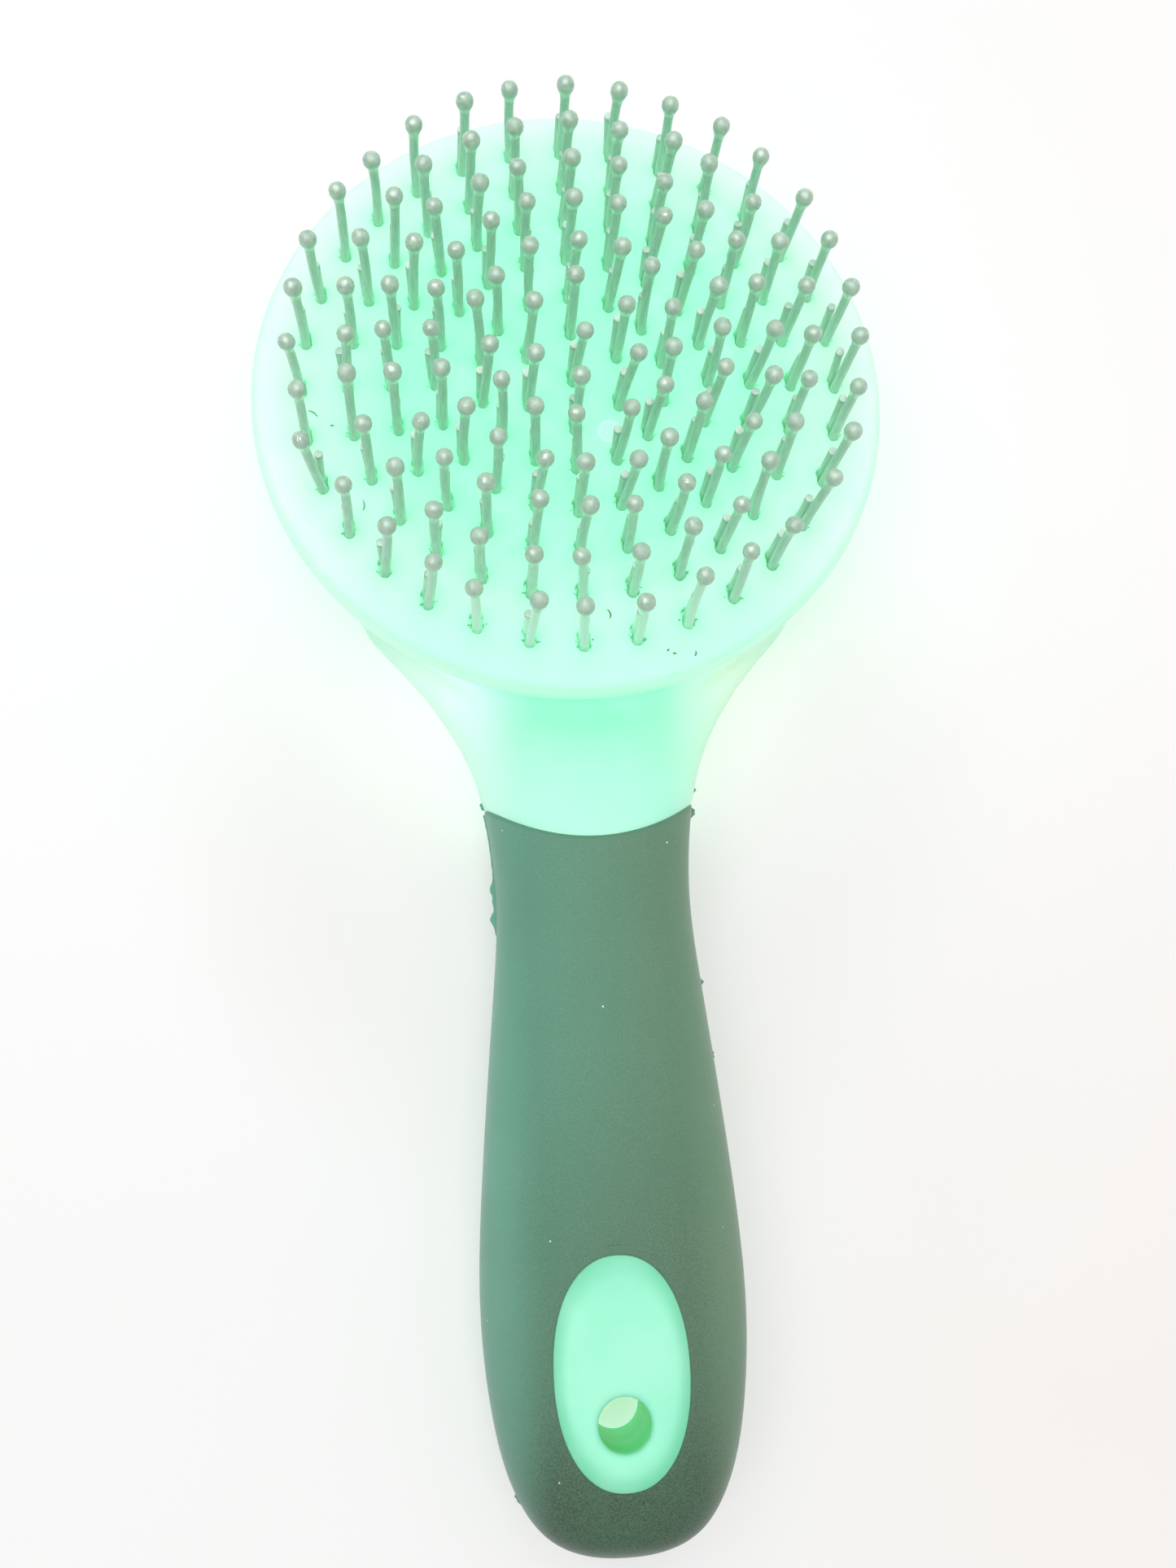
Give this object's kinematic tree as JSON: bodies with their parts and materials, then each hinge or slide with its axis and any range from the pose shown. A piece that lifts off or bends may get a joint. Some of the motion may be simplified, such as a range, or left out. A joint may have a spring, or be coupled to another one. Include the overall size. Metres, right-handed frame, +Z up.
{
  "type": "mane and tail brush",
  "caption": "Round-headed grooming brush with ball-tipped hairpin bristles in a domed rubber cushion and a soft-grip handle with a hang hole.",
  "frame": {"origin": "middle of the brush's length and width, on the surface it lies on, bristles up", "axes": "+Z up along the bristles, +Y from the handle's end to the head, +X to the right seen from above"},
  "size_m": [0.1, 0.22, 0.0383],
  "materials": {
    "mint_plastic": "translucent satin",
    "cushion_rubber": "translucent satin",
    "grip_rubber": "matte, fine grain",
    "nylon": "satin"
  },
  "bodies": {
    "root": {"handle_body": "mint_plastic", "grip_sleeve": "grip_rubber", "cushion_pad": "cushion_rubber"},
    "bristles_centre": {"bristles_centre_01": "nylon"},
    "bristles_ring1": {"bristles_ring1_01": "nylon", "bristles_ring1_02": "nylon"},
    "bristles_ring2": {"bristles_ring2_01": "nylon", "bristles_ring2_02": "nylon", "bristles_ring2_03": "nylon", "bristles_ring2_04": "nylon", "bristles_ring2_05": "nylon", "bristles_ring2_06": "nylon", "bristles_ring2_07": "nylon"},
    "bristles_ring3": {"bristles_ring3_01": "nylon", "bristles_ring3_02": "nylon", "bristles_ring3_03": "nylon", "bristles_ring3_04": "nylon", "bristles_ring3_05": "nylon"},
    "bristles_ring4": {"bristles_ring4_01": "nylon", "bristles_ring4_02": "nylon", "bristles_ring4_03": "nylon", "bristles_ring4_04": "nylon", "bristles_ring4_05": "nylon", "bristles_ring4_06": "nylon"},
    "bristles_ring5": {"bristles_ring5_01": "nylon", "bristles_ring5_02": "nylon", "bristles_ring5_03": "nylon", "bristles_ring5_04": "nylon", "bristles_ring5_05": "nylon", "bristles_ring5_06": "nylon", "bristles_ring5_07": "nylon"},
    "bristles_ring6": {"bristles_ring6_01": "nylon", "bristles_ring6_02": "nylon", "bristles_ring6_03": "nylon", "bristles_ring6_04": "nylon", "bristles_ring6_05": "nylon", "bristles_ring6_06": "nylon", "bristles_ring6_07": "nylon", "bristles_ring6_08": "nylon"}
  },
  "joints": [
    {"name": "press_centre", "type": "slide", "parent": "root", "child": "bristles_centre", "axis": [0, 0, -1], "range_m": [0, 0.00281], "stiffness_N_per_m": 400},
    {"name": "press_ring1", "type": "slide", "parent": "root", "child": "bristles_ring1", "axis": [0, 0, -1], "range_m": [0, 0.00274], "stiffness_N_per_m": 400},
    {"name": "press_ring2", "type": "slide", "parent": "root", "child": "bristles_ring2", "axis": [0, 0, -1], "range_m": [0, 0.00258], "stiffness_N_per_m": 400},
    {"name": "press_ring3", "type": "slide", "parent": "root", "child": "bristles_ring3", "axis": [0, 0, -1], "range_m": [0, 0.0023], "stiffness_N_per_m": 400},
    {"name": "press_ring4", "type": "slide", "parent": "root", "child": "bristles_ring4", "axis": [0, 0, -1], "range_m": [0, 0.00193], "stiffness_N_per_m": 400},
    {"name": "press_ring5", "type": "slide", "parent": "root", "child": "bristles_ring5", "axis": [0, 0, -1], "range_m": [0, 0.00146], "stiffness_N_per_m": 400},
    {"name": "press_ring6", "type": "slide", "parent": "root", "child": "bristles_ring6", "axis": [0, 0, -1], "range_m": [0, 0.00084], "stiffness_N_per_m": 400}
  ],
  "couplings": [
    {"joint": "press_centre", "follows": "press_ring3", "ratio": 1.2217},
    {"joint": "press_ring1", "follows": "press_ring3", "ratio": 1.1896},
    {"joint": "press_ring2", "follows": "press_ring3", "ratio": 1.1204},
    {"joint": "press_ring4", "follows": "press_ring3", "ratio": 0.8386},
    {"joint": "press_ring5", "follows": "press_ring3", "ratio": 0.6333},
    {"joint": "press_ring6", "follows": "press_ring3", "ratio": 0.3638}
  ]
}
